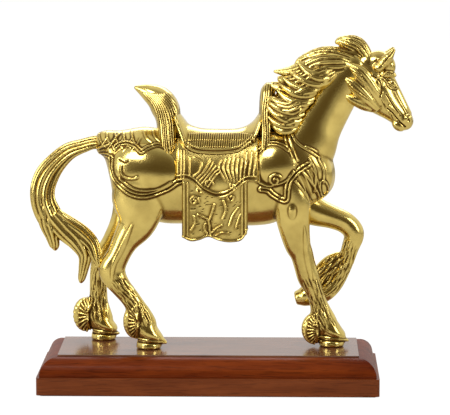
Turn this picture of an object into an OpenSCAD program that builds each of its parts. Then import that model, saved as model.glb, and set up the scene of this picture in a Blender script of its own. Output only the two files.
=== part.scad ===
// A brass horse in ceremonial saddlery, walking, screwed to a moulded hardwood base.
// Millimetres. +X runs from tail to head, +Y from the horse's right side to its left, +Z up.
// The origin is the centre of the base's underside.

/* [Base] */
// Length of the base
base_l = 300; // [290:1:320]
// Depth of the base
base_d = 120; // [114:1:130]
// Thickness of the felt under the base
felt_t = 1; // [0.8:0.1:1.5]
// Thickness of the lower board
plinth_t = 15.3; // [13:0.1:18]
// Thickness of the moulded upper board
moulded_t = 16.2; // [15:0.1:20]
// Thickness of the raised top panel
panel_t = 1.4; // [1:0.1:2]
// Set-back of the moulded board from the lower board
moulded_inset = 2.6; // [2:0.1:4]
// Set-back of the top panel from the lower board
panel_inset = 17.8; // [16:0.1:20]

/* [Horse] */
// Height from the base to the top of the mane
horse_h = 278; // [250:1:290]
// How far the horse stands behind the middle of the base
horse_back = 10; // [4:1:12]
// Wall of the hollow body castings
wall = 3.5; // [3:0.5:5]
// Thickness of the saddle flaps
flap_t = 2.6; // [2:0.1:3]

/* [Fixings] */
// Radius of a hoof screw's shank
screw_r = 2; // [1.5:0.1:2.5]
// Clear space around a hoof screw
screw_gap = 0.2; // [0.15:0.05:0.3]
// Depth of a screw in its hoof
screw_bite = 9; // [7:1:11]

/* [Hidden] */

base_top = felt_t + plinth_t + moulded_t + panel_t;
design_h = 278;              // the horse height that the tables below are drawn for
horse_k = horse_h / design_h;
brass = [0.80, 0.64, 0.24];
rosewood = [0.42, 0.16, 0.07];
right = -1;                  // the sign of Y on the horse's right side
left = 1;
far = 400;                   // longer than the object, for cutting halves

// Stations of a loft: [x, z, half height across the path, half width in Y, y]. Heights are above the base.
torso = [[-101, 181, 4, 4, 0], [-99, 181, 9, 8, 0], [-93, 179.5, 12.5, 14, 0], [-88, 170, 22.5, 20, 0],
    [-83, 157, 35, 24.5, 0], [-74, 154, 39, 28, 0], [-58, 154.5, 41, 30, 0], [-40, 151.5, 42, 30.5, 0],
    [-21.3, 150, 41, 30.5, 0], [1.1, 149, 41, 31, 0],
    [20.7, 149.2, 41.3, 31, 0], [40.6, 150.8, 43.2, 30.5, 0], [58, 155.2, 44.8, 30, 0], [75, 160, 40, 28, 0],
    [90, 160, 34, 25, 0], [102, 157, 24, 19, 0], [109, 154, 13, 11, 0], [111.5, 153, 4, 4, 0]];
neck_line = [[74, 166, 30, 24, 0], [84, 183, 30, 22, 0], [93, 199, 25.5, 18.5, 0], [104, 216, 22.5, 16, 0],
    [114, 231, 20.5, 14.5, 0], [122, 241, 19.5, 13.5, 0], [130, 248, 17, 12, 0]];
head_line = [[127, 243, 17, 11, 0], [138, 236, 22, 13, 0], [147, 228, 19.5, 13.5, 0],
    [155, 219, 15.5, 12, 0],
    [162, 212, 11.5, 10, 0], [168, 206, 9.5, 8.5, 0], [172, 201, 9, 8.5, 0], [175.5, 197, 6.5, 6.5, 0],
    [177.5, 194.5, 2, 2, 0]];

foreleg_right_line = [[62, 166, 12, 5, -17], [67, 150, 13, 8, -20], [73, 132, 16, 10, -18.5],
    [74, 116, 15, 10.5, -17], [78, 94, 12, 10, -15],
    [82, 84, 10.3, 9, -13.5], [84.7, 74, 9.8, 8.5, -12.5], [88, 63, 10, 8.5, -11],
    [91.7, 54, 8.7, 7.5, -10],
    [95.5, 44, 7.5, 6.5, -9], [98, 36, 8.5, 7.5, -8], [100, 29, 10, 9, -7.5], [104, 20, 10.5, 9.5, -7],
    [110, 11, 13, 11, -6.5], [111, 6, 13, 11, -6.5]];
hindleg_right_line = [[-57, 168, 16, 5, -17], [-60, 150.5, 21, 9, -20.7], [-61, 132, 24, 11.5, -19.2],
    [-64, 112, 17.5, 11.5, -18.5],
    [-74, 96, 12, 9.5, -18.5], [-81, 82, 10.5, 8.5, -19], [-86, 71, 12, 8, -19.5],
    [-83.5, 63, 11, 8, -19.5],
    [-78, 55, 9.3, 7.5, -20], [-70, 45, 8.6, 7, -20], [-65, 37, 9, 7.5, -20], [-61, 29, 10.5, 9, -20],
    [-57, 20, 11, 9.5, -20], [-52.4, 11.3, 13, 10.8, -20], [-52.8, 6, 13, 10.8, -20]];
hindleg_left_line = [[-60, 168, 16, 5, 17], [-62, 150, 21, 9, 21], [-65, 130, 23, 11.5, 19],
    [-74, 108, 16, 11.5, 19],
    [-86, 88, 12, 9, 19.5], [-96, 73, 11, 8.5, 20], [-100, 62, 8.5, 7.5, 20.5], [-101, 51, 8, 7, 21],
    [-101, 41, 8.2, 7, 21], [-101, 33, 9, 7.5, 21], [-100, 26, 10, 8.5, 21], [-98, 17, 11.5, 9.5, 21],
    [-95.5, 10, 13, 11, 21], [-96, 6, 13, 11, 21]];
foreleg_left_line = [[66, 140, 14, 5, 17], [76, 132, 16, 9, 19], [84, 123, 16, 11, 17],
    [95, 117.5, 13, 10.5, 16.5], [110, 112.5, 10.5, 9.5, 16.5],
    [122, 107, 9.8, 9, 17], [129, 98, 9.3, 9, 17], [126, 86, 8, 7.8, 17], [122, 74, 7.5, 7, 17],
    [117, 63, 8, 7, 17], [111, 53, 8.8, 7.8, 17], [104, 45.5, 9, 8.5, 17], [97, 42, 9, 9, 17],
    [90, 41, 10.5, 10.5, 17], [86, 41.5, 11, 10.5, 17]];

tail_stem = [[-88, 178, 10, 9, 0], [-100, 181.5, 6.4, 6.5, 0], [-112, 178.5, 6.5, 6.5, 0],
    [-125, 173.5, 8, 7, -1],
    [-136, 164, 9.5, 7.5, -2], [-144, 153, 11, 8, -3], [-148, 141, 11.3, 8, -5], [-147.5, 129, 11.5, 8, -6],
    [-143, 118, 12, 7.5, -7], [-137, 109, 11, 7, -8]];
tail_locks = [
    [[-145, 122, 9, 7, -7], [-143, 111, 7.5, 6, -8], [-139.5, 99, 5.5, 5, -9], [-137.5, 90, 4, 4, -9],
     [-137, 85.5, 1.5, 1.5, -9]],
    [[-140, 117, 9, 7, -7], [-128, 105, 10, 7, -10], [-117, 95, 9, 6.5, -12], [-110.5, 83, 6, 5.5, -13],
     [-111.5, 71, 4.2, 4.2, -13], [-113.5, 61, 3, 3, -13], [-114.5, 57, 1.5, 1.5, -13]],
    [[-130, 111, 9, 7, -9], [-114, 101, 8, 6.5, -12], [-104, 92, 6.5, 5.5, -15], [-99.5, 80, 4, 4, -18],
     [-97.5, 73, 3, 3.5, -19.5]]];
mane_crest = [
    [[139, 258, 6, 8, 0], [131, 267, 9, 8, 0], [123, 269.5, 8.5, 7.5, 0], [115, 271.5, 5.5, 5, 0],
     [111.5, 270.5, 2, 2.5, 0]],
    [[74, 192, 12, 18, 0], [66, 208, 11, 13, 0], [66, 222, 9, 9, 0], [70, 234, 5, 5, 0]],
    [[128, 254, 10, 10, 0], [113, 259, 9, 9.5, 0], [100, 260, 8, 8, 0], [88, 257, 6.5, 6.5, 0],
     [79, 253, 4.5, 4.5, 0],
        [77, 250, 1.5, 2, 0]]];
// Locks that lie along each side of the neck, drawn for the left side
mane_side = [
    [[114.4, 250.3, 10, 6, 7], [98, 251, 9, 6.5, 7], [84, 247, 7.5, 6, 6], [72, 244.5, 5, 4.5, 4],
     [59, 245, 1.2, 1.2, 2]],
    [[100, 242, 10, 5, 13], [84, 237, 9, 6, 12], [72, 236, 7, 5.5, 10], [63, 238, 2, 2, 8]],
    [[88.4, 230.6, 8, 4.5, 16.2], [78.3, 227.1, 8, 6, 16], [68, 228.6, 6.5, 5, 13], [58, 233, 2, 2, 11]],
    [[79.2, 216.4, 7, 4.5, 19.6], [70, 214, 7.5, 5.5, 19.4], [62, 217, 6, 4.8, 17], [57, 222, 2.5, 2.5, 14]],
    [[75.3, 203.4, 8, 4, 19.6], [67, 202.4, 8.5, 6, 19], [58, 206.6, 8, 5.2, 15.4], [52, 214, 5, 4, 11]]];

cantle_line = [[-35, 174, 9, 26.5, 0], [-36, 188, 10, 24, 0], [-36.5, 202, 11, 20, 0],
    [-39, 212, 12.5, 17, 0],
    [-45, 220.5, 11.5, 13, 0], [-55, 226.5, 7.5, 8, 0], [-66.5, 231, 1.5, 2, 0]];
pommel_line = [[49.5, 176, 7, 27.5, 0], [50, 192, 7, 25, 0], [50.5, 208, 6.8, 20, 0],
    [51.2, 222, 6.8, 14, 0], [52.2, 230, 6, 10, 0], [52.8, 235, 2.5, 5, 0]];

// Outlines and lines seen from the side: [x, height above the base]
seat_edge = [[-30, 206], [-25, 192], [-20, 181], [-12, 176], [0, 174.5], [12, 174.5], [25, 176],
    [33, 181], [40, 188], [46, 204]];
skirt_hem = [[-28, 151], [-20, 152], [-13, 149], [-6, 142], [2, 137.5], [9, 136], [16, 137.5],
    [23, 142.5], [29, 148], [34, 150.5], [41, 150.5]];
cloth_hem = [[-23, 101], [-16, 98], [-8, 99], [0, 101.5], [9, 98.5], [20, 97], [29, 99], [34, 108]];
hip_border = [[-86, 168], [-84, 158], [-78, 146], [-68, 139], [-56, 137], [-44, 139], [-35, 144],
    [-27, 150]];
hip_scallop = [[-84, 173], [-79, 179], [-70, 180], [-62, 177], [-58, 174], [-53, 178], [-46, 182]];
shoulder_border = [[46, 144], [54, 141], [62, 136], [68, 135], [70, 145], [75, 157], [84, 164]];
drape_folds = [
    [[66, 198], [71, 186], [77, 173], [84, 162], [92, 148]],
    [[71, 195], [79, 182], [92, 173], [97, 158], [96, 144]],
    [[75, 193], [87, 182], [99, 174], [103, 160], [101, 146]]];
hip_dome = [-57, 163];
shoulder_dome = [59, 167];

// Planted hooves: [x of the sole's centre, y]
hoof_spots = [[110, -6.5], [-54, -20], [-97, 21]];
hoof_h = 8.5;
sole_r = 11.5;
lifted_hoof = [82, 42, 17];  // centre of the lifted hoof's wall, x, height and y
lifted_turn = 108;           // how far that foot is folded back, in degrees

// Fans of hair behind the fetlocks: [x, height, y, first angle, last angle]
foreleg_right_fan = [92.6, 16.6, -8.2, 100, 262];
hindleg_right_fan = [-65.8, 23.6, -20, 118, 262];
hindleg_left_fan = [-113.2, 22.6, 21, 75, 270];
foreleg_left_fan = [107.4, 62.3, 17, 98, 205];

// ---- Curves ----
function spline(a, b, c, d, t) =
    ((2 * b) + (c - a) * t + (2 * a - 5 * b + 4 * c - d) * t * t + (3 * b - a - 3 * c + d) * t * t * t) / 2;
function smoothed(p, steps) = [
    for (i = [0 : len(p) - 2], k = [0 : steps - 1])
        spline(p[max(i - 1, 0)], p[i], p[i + 1], p[min(i + 2, len(p) - 1)], k / steps),
    p[len(p) - 1]];
function grown(p, g) = [for (s = p) [s[0], s[1], max(s[2] + g, 0.6), max(s[3] + g, 0.6), s[4]]];
function heading(p, i) =
    let (d = p[min(i + 1, len(p) - 1)] - p[max(i - 1, 0)]) [d[0], d[1]] / norm([d[0], d[1]]);
function mirrored(p, side) = [for (s = p) [s[0], s[1], s[2], s[3], side * s[4]]];

// ---- Building blocks, in the horse's own frame ----
module loft(stations, sides = 12, steps = 2, upright = false) {
    p = smoothed(stations, steps);
    rings = len(p);
    points = [for (i = [0 : rings - 1]) let (t = upright ? [1, 0] : heading(p, i)) for (j = [0 : sides - 1])
        let (a = 360 * j / sides)
        [p[i][0] - t[1] * p[i][2] * cos(a), p[i][4] + p[i][3] * sin(a), p[i][1] + t[0] * p[i][2] * cos(a)]];
    walls = [for (i = [0 : rings - 2], j = [0 : sides - 1])
        let (a = i * sides + j, b = i * sides + (j + 1) % sides)
        each [[a, b + sides, a + sides], [a, b, b + sides]]];
    ends = [[for (j = [sides - 1 : -1 : 0]) j], [for (j = [0 : sides - 1]) (rings - 1) * sides + j]];
    polyhedron(points = points, faces = concat(walls, ends), convexity = 6);
}

module bead(x, y, z, r) translate([x, y, z]) sphere(r, $fn = 6);

// A raised line over the body's side, drawn as a chain of beads
module ridge(line, r, side, steps = 1) {
    p = smoothed(line, steps);
    for (i = [0 : len(p) - 2])
        hull() {
            bead(p[i][0], side * flank(p[i]), p[i][1], r);
            bead(p[i + 1][0], side * flank(p[i + 1]), p[i + 1][1], r);
        }
}

// Half width of the torso at a point [x, z] seen from the side
function torso_at(x) = let (p = smoothed(torso, 1), i = max([for (k = [0 : len(p) - 2]) if (p[k][0] <= x) k]),
    t = (x - p[i][0]) / (p[i + 1][0] - p[i][0])) p[i] * (1 - t) + p[i + 1] * t;
function flank(q) = let (s = torso_at(q[0]), v = min(abs(q[1] - s[1]) / s[2], 0.98)) s[3] * sqrt(1 - v * v);

module side_prism(outline, side, depth = far)
    scale([1, -side, 1]) rotate([90, 0, 0]) linear_extrude(depth) polygon(outline);

module ellipsoid(at, r, facets = 16) translate(at) scale(r) sphere(1, $fn = facets);

module place_horse() translate([0, horse_back, base_top]) scale(horse_k) children();

module half(side) translate([-far / 2, side > 0 ? 0 : -far, -far / 2]) cube(far);

// ---- Body castings ----
// The horse's barrel, grown outwards by g
module barrel(g, sides = 24) loft(grown(torso, g), sides, 1, upright = true);

module dome(at, r, side) ellipsoid([at[0], side * flank(at) - side * 9, at[1]], [r[0], 14, r[1]], 18);

module side_relief(side) {
    dome(hip_dome, [26, 21], side);
    dome(shoulder_dome, [15, 19], side);
    ridge(hip_border, 1.8, side);
    ridge(hip_scallop, 1.5, side);
    ridge(shoulder_border, 1.6, side);
    for (fold = drape_folds) ridge(fold, 1.5, side);
}

module trunk() {
    barrel(0);
    for (side = [right, left]) side_relief(side);
}

module torso_half(side) intersection() {
    difference() {
        trunk();
        barrel(-wall, 14);
    }
    half(side);
}

module neck_body() loft(neck_line, 16, 2);
module neck() difference() {
    neck_body();
    trunk();
}

module ear(side) hull() {
    ellipsoid([149, side * 9, 251], [6, 2.5, 6], 8);
    ellipsoid([156, side * 9.5, 259], [4.5, 1.6, 5], 8);
    bead(162, side * 9, 266, 0.9);
}

module eye(side) ellipsoid([160.5, side * 9.5, 234.5], [4, 3, 3], 10);

module cheek(side) {
    hull() {
        ellipsoid([136, side * 8, 239], [12, 6, 12], 10);
        ellipsoid([144, side * 7, 222], [8, 5.5, 8], 10);
    }
    hull() {
        ellipsoid([132, side * 8, 246], [8, 5, 6], 8);
        bead(119, side * 12, 243, 1);
    }
    hull() {
        ellipsoid([132, side * 8, 230], [9, 4, 6], 8);
        bead(119, side * 12, 225, 1);
    }
}

module head_body() {
    loft(head_line, 16, 2);
    ellipsoid([148.5, 0, 250.7], [13.5, 10.6, 13.3], 16);
    hull() {
        ellipsoid([158, 0, 234], [8, 9, 9], 12);
        ellipsoid([172, 0, 209], [5, 5.5, 4], 12);
    }
    for (side = [right, left]) {
        ear(side);
        eye(side);
        cheek(side);
        ellipsoid([175, side * 6, 203], [4, 3, 4.5], 10);
    }
}

module head() difference() {
    head_body();
    neck_body();
}

module mane_body() {
    for (lock = mane_crest) loft(lock, 10, 2);
    for (side = [right, left], lock = mane_side) loft(mirrored(lock, side), 8, 2);
}

module mane() difference() {
    mane_body();
    neck_body();
    head_body();
    trunk();
    saddle_body();
}

module tail() difference() {
    union() {
        loft(tail_stem, 12, 2);
        for (lock = tail_locks) loft(lock, 10, 2);
    }
    trunk();
    leg_body(hindleg_right_line, hindleg_right_fan);
}

// ---- Legs ----
// The fan of hair behind a fetlock
module feather(fan) translate([fan[0], fan[2], fan[1]])
    for (i = [0 : 6])
        let (a = fan[3] + (fan[4] - fan[3]) * i / 6)
            hull() {
                sphere(5.6, $fn = 8);
                translate([9.4 * cos(a), 0, 11.8 * sin(a)]) scale([1, 2, 1]) sphere(2.4, $fn = 8);
            }

// A hoof with the hair cap that comes to a point over its toe
module hoof(turn = 0) rotate([0, turn, 0]) {
    hull() {
        cylinder(h = 1, r = sole_r, $fn = 20);
        translate([1.5, 0, hoof_h - 1]) cylinder(h = 1, r = sole_r - 1, $fn = 20);
    }
    hull() {
        translate([1.5, 0, hoof_h]) cylinder(h = 4, r = sole_r, $fn = 20);
        translate([15.5, 0, hoof_h - 2]) sphere(1, $fn = 8);
        translate([-1, 0, hoof_h + 10]) sphere(7, $fn = 10);
    }
}

module leg_body(line, fan) {
    loft(line, 12, 2);
    feather(fan);
}

module screw_hole(spot) translate([spot[0], spot[1], -1])
    cylinder(h = screw_bite + 2, r = (screw_r + screw_gap) / horse_k, $fn = 28);

module planted_leg(line, fan, spot) difference() {
    union() {
        leg_body(line, fan);
        translate([spot[0], spot[1], 0]) hoof();
    }
    trunk();
    screw_hole(spot);
}

module lifted_leg() difference() {
    union() {
        leg_body(foreleg_left_line, foreleg_left_fan);
        translate([lifted_hoof[0] - 3, lifted_hoof[2], lifted_hoof[1]]) hoof(lifted_turn);
    }
    trunk();
    planted_shape(foreleg_right_line, foreleg_right_fan, hoof_spots[0]);
}

module planted_shape(line, fan, spot) {
    leg_body(line, fan);
    translate([spot[0], spot[1], 0]) hoof();
}

// ---- Saddlery ----
seat_area = concat(smoothed(seat_edge, 2), [[46, 260], [-30, 260]]);
skirt_area = concat(smoothed(skirt_hem, 2), [[43.5, 188], [-26, 188], [-28, 160]]);
cloth_area = concat([[-24, 150]], smoothed(cloth_hem, 2), [[38, 120], [38, 150]],
    [for (i = [len(skirt_hem) - 2 : -1 : 1]) skirt_hem[i] + [0, 3]]);
hang_y = 30.6 + flap_t;      // how far out the saddle cloth hangs

module seat_body() {
    intersection() {
        union() {
            barrel(4.4);
            loft([[-36, 186, 20, 20, 0], [-24, 184, 15, 20, 0], [-8, 180, 14.5, 22, 0],
                [20, 180, 14.5, 22, 0],
                [38, 186, 16, 22, 0], [50, 196, 19, 18, 0]], 20, 2);
        }
        union() {
            side_prism(seat_area, right);
            side_prism(seat_area, left);
        }
    }
    for (side = [right, left]) ridge([for (q = seat_edge) if (q[1] < 200) q], 3.4, side);
}

module cantle_body() loft(cantle_line, 20, 2);
module pommel_body() loft(pommel_line, 20, 2);

module saddle_body() {
    seat_body();
    cantle_body();
    pommel_body();
}

module saddle_seat() difference() {
    seat_body();
    trunk();
    cantle_body();
    pommel_body();
}

module saddle_cantle() difference() {
    cantle_body();
    trunk();
}

module saddle_pommel() difference() {
    pommel_body();
    trunk();
}

module skirt_body(side) {
    intersection() {
        barrel(flap_t + 1.2);
        side_prism(skirt_area, side);
    }
    ridge([for (q = skirt_hem) q + [0.3, 0.7]], 2.9, side, 2);
}

module saddle_skirt(side) difference() {
    skirt_body(side);
    trunk();
    saddle_body();
}

module cloth_body(side) intersection() {
    union() {
        barrel(flap_t);
        translate([-far / 2, side > 0 ? hang_y - 3.4 : -hang_y, 90]) cube([far, 3.4, 62]);
    }
    side_prism(cloth_area, side);
}

module saddle_cloth(side) difference() {
    union() {
        cloth_body(side);
        for (x = [-20, 34])
            hull() {
                bead(x, side * hang_y, 143, 1);
                bead(x, side * hang_y, 108, 1);
            }
        for (twig = [[[1, 104], [1, 121]], [[1, 121], [-8, 130]], [[1, 121], [6, 134]], [[14, 106],
            [12, 128]],
                [[-14, 104], [-10, 118]], [[24, 106], [28, 126]]])
            hull() {
                bead(twig[0][0], side * (hang_y - 0.3), twig[0][1], 1.6);
                bead(twig[1][0], side * (hang_y - 0.3), twig[1][1], 1.2);
            }
    }
    trunk();
    skirt_body(side);
}

// ---- Base ----
module rounded_slab(l, d, h, r) hull()
    for (x = [-1, 1], y = [-1, 1])
        translate([x * (l / 2 - r), y * (d / 2 - r), 0]) cylinder(h = h, r = r, $fn = 32);

module screw_at(spot) translate([spot[0] * horse_k, spot[1] * horse_k + horse_back, 0]) children();

module shank_holes(z0, z1) for (spot = hoof_spots) screw_at(spot)
    translate([0, 0, z0 - 1]) cylinder(h = z1 - z0 + 2, r = screw_r + screw_gap, $fn = 48);

head_r = 3.8;
head_h = 2.6;
washer_r = 5;
washer_t = 0.8;
seat_depth = 7;              // depth of a counterbore in the lower board
washer_z = felt_t + seat_depth - washer_t;

module plinth_board() color(rosewood) difference() {
    translate([0, 0, felt_t]) rounded_slab(base_l, base_d, plinth_t, 3);
    shank_holes(0, base_top);
    for (spot = hoof_spots) screw_at(spot)
        translate([0, 0, felt_t - 1]) cylinder(h = seat_depth + 1, r = washer_r + screw_gap, $fn = 48);
}

// Half of the upper board's moulded section: a quarter round between two small flats
ovolo_w = panel_inset - moulded_inset;
function moulding(half_w) = concat([[0, 0], [half_w - moulded_inset, 0], [half_w - moulded_inset, 1]],
    [for (a = [7.5 : 7.5 : 90]) [half_w - moulded_inset - ovolo_w * (1 - cos(a)),
        1 + (moulded_t - 1) * sin(a)]],
    [[0, moulded_t]]);
function both_ways(p) = concat(p, [for (i = [len(p) - 2 : -1 : 1]) [-p[i][0], p[i][1]]]);

module moulded_board() color(rosewood) translate([0, 0, felt_t + plinth_t]) difference() {
    intersection() {
        translate([0, base_d, 0]) rotate([90, 0, 0])
            linear_extrude(2 * base_d) polygon(both_ways(moulding(base_l / 2)));
        translate([-base_l, 0, 0]) rotate([90, 0, 90])
            linear_extrude(2 * base_l) polygon(both_ways(moulding(base_d / 2)));
    }
    shank_holes(0, moulded_t);
}

module top_panel() color(rosewood) difference() {
    translate([0, 0, base_top - panel_t / 2])
        cube([base_l - 2 * panel_inset, base_d - 2 * panel_inset, panel_t], center = true);
    shank_holes(base_top - panel_t, base_top);
}

module felt_pad() color([0.10, 0.24, 0.14]) rounded_slab(base_l - 6, base_d - 6, felt_t, 2);

module hoof_screws() color([0.75, 0.75, 0.77]) for (spot = hoof_spots) screw_at(spot) {
    translate([0, 0, washer_z - head_h]) cylinder(h = head_h, r = head_r, $fn = 48);
    translate([0, 0, washer_z - 0.1]) cylinder(h = base_top - washer_z + screw_bite, r = screw_r, $fn = 48);
}

module screw_washers() color([0.80, 0.80, 0.82]) for (spot = hoof_spots) screw_at(spot)
    translate([0, 0, washer_z]) difference() {
        cylinder(h = washer_t, r = washer_r, $fn = 48);
        translate([0, 0, -1]) cylinder(h = washer_t + 2, r = screw_r + screw_gap, $fn = 48);
    }

module casting() color(brass) place_horse() children();

plinth_board();
moulded_board();
top_panel();
felt_pad();
hoof_screws();
screw_washers();
casting() torso_half(right);  // torso_right
casting() torso_half(left);  // torso_left
casting() neck();
casting() head();
casting() mane();
casting() tail();
casting() planted_leg(foreleg_right_line, foreleg_right_fan, hoof_spots[0]);  // foreleg_right
casting() lifted_leg();  // foreleg_left
casting() planted_leg(hindleg_right_line, hindleg_right_fan, hoof_spots[1]);  // hindleg_right
casting() planted_leg(hindleg_left_line, hindleg_left_fan, hoof_spots[2]);  // hindleg_left
casting() saddle_seat();
casting() saddle_cantle();
casting() saddle_pommel();
casting() saddle_skirt(right);  // saddle_skirt_right
casting() saddle_skirt(left);  // saddle_skirt_left
casting() saddle_cloth(right);  // saddle_cloth_right
casting() saddle_cloth(left);  // saddle_cloth_left
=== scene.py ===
# Looks of the brass horse on its wooden base: every casting is modelled here as a finely engraved surface
# around the CAD frame. Tables are in millimetres in the horse's own frame: x from tail to head, y from the
# horse's right side to its left, z up from the top of the base.
import math
import bpy
import numpy as np
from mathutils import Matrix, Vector


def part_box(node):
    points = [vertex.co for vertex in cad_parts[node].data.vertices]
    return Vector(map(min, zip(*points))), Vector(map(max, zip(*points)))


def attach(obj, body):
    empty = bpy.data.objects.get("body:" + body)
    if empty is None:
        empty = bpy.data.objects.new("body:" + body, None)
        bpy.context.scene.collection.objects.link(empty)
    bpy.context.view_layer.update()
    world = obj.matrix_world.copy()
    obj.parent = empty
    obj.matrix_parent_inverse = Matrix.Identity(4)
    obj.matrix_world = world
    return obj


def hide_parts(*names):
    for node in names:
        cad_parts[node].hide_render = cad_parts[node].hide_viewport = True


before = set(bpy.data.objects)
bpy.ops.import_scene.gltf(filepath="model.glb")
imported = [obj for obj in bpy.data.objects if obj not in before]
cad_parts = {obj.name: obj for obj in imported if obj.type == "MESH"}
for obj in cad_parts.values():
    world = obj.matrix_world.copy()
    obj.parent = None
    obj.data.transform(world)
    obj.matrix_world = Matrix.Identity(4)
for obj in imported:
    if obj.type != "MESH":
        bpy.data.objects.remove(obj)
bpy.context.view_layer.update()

MM = 0.001
FINE = 1.0
BASE_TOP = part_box("top_panel")[1][2]
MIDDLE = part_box("torso_right")[1][1]
RIGHT, LEFT = -1, 1

# ---- Main forms, as stations of a loft: [x, z, half height across the path, half width, y] ----
TORSO = [
    [-101, 181, 4, 4, 0], [-99, 181, 9, 8, 0], [-93, 179.5, 12.5, 14, 0], [-88, 170, 22.5, 20, 0],
    [-83, 157, 35, 24.5, 0], [-74, 154, 39, 28, 0], [-58, 154.5, 41, 30, 0], [-40, 151.5, 42, 30.5, 0],
    [-21.3, 150, 41, 30.5, 0], [1.1, 149, 41, 31, 0], [20.7, 149.2, 41.3, 31, 0],
    [40.6, 150.8, 43.2, 30.5, 0], [58, 155.2, 44.8, 30, 0], [75, 160, 40, 28, 0], [90, 160, 34, 25, 0],
    [102, 157, 24, 19, 0], [109, 154, 13, 11, 0], [111.5, 153, 4, 4, 0]]
NECK = [
    [60, 160, 30, 23, 0], [74, 166, 30, 24, 0], [84, 183, 30, 22, 0], [93, 199, 25.5, 18.5, 0],
    [104, 216, 22.5, 16, 0], [114, 231, 20.5, 14.5, 0], [122, 241, 19.5, 13.5, 0], [130, 248, 17, 12, 0],
    [136, 252, 13, 9, 0]]
HEAD = [
    [124, 246, 13, 9, 0], [131, 243, 18, 11.5, 0], [139, 236, 21.5, 13, 0], [147, 228, 19.5, 13, 0],
    [155, 219, 15, 11.5, 0], [162, 212, 11.5, 9.8, 0], [168, 206, 9.5, 8.3, 0], [172, 201, 9, 8.3, 0],
    [175.5, 197, 6.5, 6.3, 0], [177.3, 194.8, 2, 2, 0]]
FORELEG_RIGHT = [
    [62, 166, 12, 5, -17], [67, 150, 13, 8, -20], [73, 132, 16, 10, -18.5], [74, 116, 15, 10.5, -17],
    [78, 94, 12, 10, -15], [82, 84, 10.3, 9, -13.5], [84.7, 74, 9.8, 8.5, -12.5], [88, 63, 10, 8.5, -11],
    [91.7, 54, 8.7, 7.5, -10], [95.5, 44, 7.5, 6.5, -9], [98, 36, 8.5, 7.5, -8], [100, 29, 10, 9, -7.5],
    [104, 20, 10.5, 9.5, -7], [108, 12, 8, 8, -6.5]]
HINDLEG_RIGHT = [
    [-57, 168, 16, 5, -17], [-60, 150.5, 21, 9, -20.7], [-61, 132, 24, 11.5, -19.2],
    [-64, 112, 17.5, 11.5, -18.5], [-74, 96, 12, 9.5, -18.5], [-81, 82, 10.5, 8.5, -19],
    [-86, 71, 12, 8, -19.5], [-83.5, 63, 11, 8, -19.5], [-78, 55, 9.3, 7.5, -20], [-70, 45, 8.6, 7, -20],
    [-65, 37, 9, 7.5, -20], [-61, 29, 10.5, 9, -20], [-57, 20, 11, 9.5, -20], [-54, 12, 8, 8, -20]]
HINDLEG_LEFT = [
    [-60, 168, 16, 5, 17], [-62, 150, 21, 9, 21], [-65, 130, 23, 11.5, 19], [-74, 108, 16, 11.5, 19],
    [-86, 88, 12, 9, 19.5], [-96, 73, 11, 8.5, 20], [-100, 62, 8.5, 7.5, 20.5], [-101, 51, 8, 7, 21],
    [-101, 41, 8.2, 7, 21], [-101, 33, 9, 7.5, 21], [-100, 26, 10, 8.5, 21], [-98, 17, 10.5, 9, 21],
    [-96, 11, 8, 8, 21]]
FORELEG_LEFT = [
    [66, 140, 14, 5, 17], [76, 132, 16, 9, 19], [84, 123, 16, 11, 17], [95, 117.5, 13, 10.5, 16.5],
    [110, 112.5, 10.5, 9.5, 16.5], [122, 107, 9.8, 9, 17], [129, 98, 9.3, 9, 17], [126, 86, 8, 7.8, 17],
    [122, 74, 7.5, 7, 17], [117, 63, 8, 7, 17], [111, 53, 8.8, 7.8, 17], [104, 45.5, 9, 8.5, 17],
    [97, 42, 9, 9, 17], [90, 41, 9, 9, 17]]
TAIL = [
    [-88, 178, 10, 9, 0], [-100, 181.5, 6.4, 6.5, 0], [-112, 178.5, 6.5, 6.5, 0], [-125, 173.5, 8, 7, -1],
    [-136, 164, 9.5, 7.5, -2], [-144, 153, 11, 8, -3], [-148, 141, 11.3, 8, -5],
    [-147.5, 129, 11.5, 8, -6], [-143, 118, 12, 7.5, -7], [-137, 109, 11, 7, -8], [-130, 103, 8, 5, -9]]
TAIL_LOCKS = [
    [[-145, 126, 8, 6, -7], [-144, 111, 7.5, 6, -8], [-140, 99, 5.5, 5, -9], [-137.5, 90, 4, 4, -9],
     [-137, 85.5, 1, 1, -9]],
    [[-140, 117, 9, 7, -7], [-128, 105, 10, 7, -10], [-117, 95, 9, 6.5, -12], [-110.5, 83, 6, 5.5, -13],
     [-111.5, 71, 4.2, 4.2, -13], [-113.5, 61, 3, 3, -13], [-114.5, 57, 1, 1, -13]],
    [[-142, 123, 4, 4, -7], [-130, 111, 8, 6.5, -9], [-114, 101, 8, 6.5, -12], [-104, 92, 6.5, 5.5, -15],
     [-99.5, 80, 4, 4, -18], [-97.5, 73, 2, 2, -19.5]]]
CANTLE = [[-35, 174, 9, 26.5, 0], [-36, 188, 10, 24, 0], [-36.5, 202, 11, 20, 0], [-39, 212, 12.5, 17, 0],
          [-45, 220.5, 11.5, 13, 0], [-55, 226.5, 7.5, 8, 0], [-66.5, 231, 1.2, 1.5, 0]]
POMMEL = [[49.5, 176, 7, 27.5, 0], [50, 192, 7, 25, 0], [50.5, 208, 6.8, 20, 0], [51.2, 222, 6.8, 14, 0],
          [52.2, 230, 6, 10, 0], [52.8, 235, 2.5, 5, 0]]


# ---- Curves and fields ----
def spline(points, steps):
    """A smooth curve through the points, with this many steps to each span."""
    p = np.asarray(points, float)
    q = np.vstack([p[:1], p, p[-1:]])
    t = np.linspace(0, 1, steps, endpoint=False)[:, None]
    spans = [((2 * b) + (c - a) * t + (2 * a - 5 * b + 4 * c - d) * t ** 2 + (3 * b - a - 3 * c + d)
              * t ** 3) / 2 for a, b, c, d in zip(q[:-3], q[1:-2], q[2:-1], q[3:])]
    return np.vstack(spans + [p[-1:]])


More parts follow.
